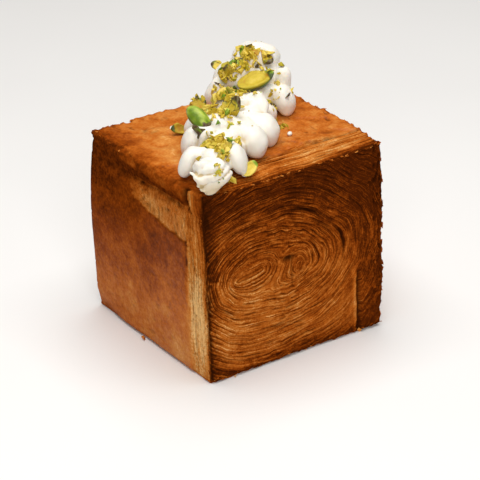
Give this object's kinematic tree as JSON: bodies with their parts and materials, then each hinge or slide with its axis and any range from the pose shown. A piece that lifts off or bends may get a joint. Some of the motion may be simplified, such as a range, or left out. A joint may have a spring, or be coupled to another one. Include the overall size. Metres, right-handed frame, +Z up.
{
  "type": "cube croissant",
  "caption": "Cube-shaped laminated pastry with rolled spiral ends, a line of piped cream along the diagonal of its top and chopped pistachios on the cream.",
  "frame": {"origin": "middle of the base, on the surface that the pastry stands on, under the middle of its outline", "axes": "+Z up; the rolled spiral ends of the pastry face -Y and +Y; the line of cream runs from the corner at -X -Y to the corner at +X +Y, where it is tallest"},
  "size_m": [0.0756, 0.0726, 0.0903],
  "materials": {
    "crust": "baked, satin brown crust with bare layers on the ends",
    "cream": "whipped, soft white, satin",
    "nut_flesh": "matt yellow-green flesh",
    "nut_skin": "satin green skin with brown patches"
  },
  "bodies": {
    "root": {"pastry": "crust", "cream": "cream", "pistachio_half": "nut_flesh", "pistachio_green": "nut_skin", "pistachio_upright": "nut_flesh", "pistachio_jutting": "nut_flesh", "pistachio_left": "nut_flesh", "pistachio_far_left": "nut_flesh", "pistachio_top": "nut_flesh", "pistachio_top_right": "nut_flesh", "pistachio_near": "nut_flesh", "pistachio_right_rest": "nut_flesh", "pistachio_left_rest": "nut_flesh"}
  },
  "joints": []
}
